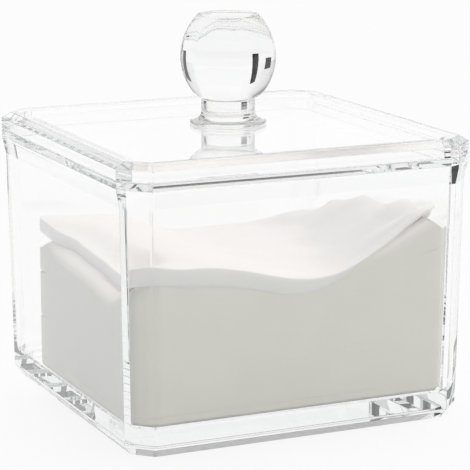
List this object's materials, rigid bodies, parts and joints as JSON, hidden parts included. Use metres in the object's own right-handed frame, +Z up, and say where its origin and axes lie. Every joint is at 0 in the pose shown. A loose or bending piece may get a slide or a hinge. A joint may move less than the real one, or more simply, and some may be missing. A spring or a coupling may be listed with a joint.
{
  "type": "lidded cotton storage box",
  "caption": "Clear square lidded box with chamfered corners, a bevelled lift-off lid and a faceted ball knob, holding a soft pile of cotton pads.",
  "frame": {"origin": "centre of the underside, level with the ring that the box stands on", "axes": "+Z up through the knob, +X to the right and +Y to the back as seen from the front, where the pads touch the wall"},
  "size_m": [0.1, 0.1, 0.1057],
  "materials": {
    "clear_tub": "clear polished moulding",
    "clear_lid": "clear polished moulding",
    "clear_knob": "clear polished moulding with crisp facets",
    "cotton": "soft matt pressed fibre"
  },
  "bodies": {
    "tub": {"box_body": "clear_tub", "cotton_pad_01": "cotton", "cotton_pad_02": "cotton", "cotton_pad_03": "cotton", "cotton_pad_04": "cotton", "cotton_pad_05": "cotton", "cotton_pad_06": "cotton", "cotton_pad_07": "cotton", "cotton_pad_08": "cotton", "cotton_pad_09": "cotton", "cotton_pad_10": "cotton", "cotton_pad_11": "cotton", "cotton_top_pad": "cotton"},
    "lid_unit": {"lid": "clear_lid", "knob": "clear_knob"}
  },
  "joints": [
    {"name": "lid_lift", "type": "slide", "parent": "tub", "child": "lid_unit", "axis": [0, 0, 1], "range_m": [0, 0.08]}
  ]
}
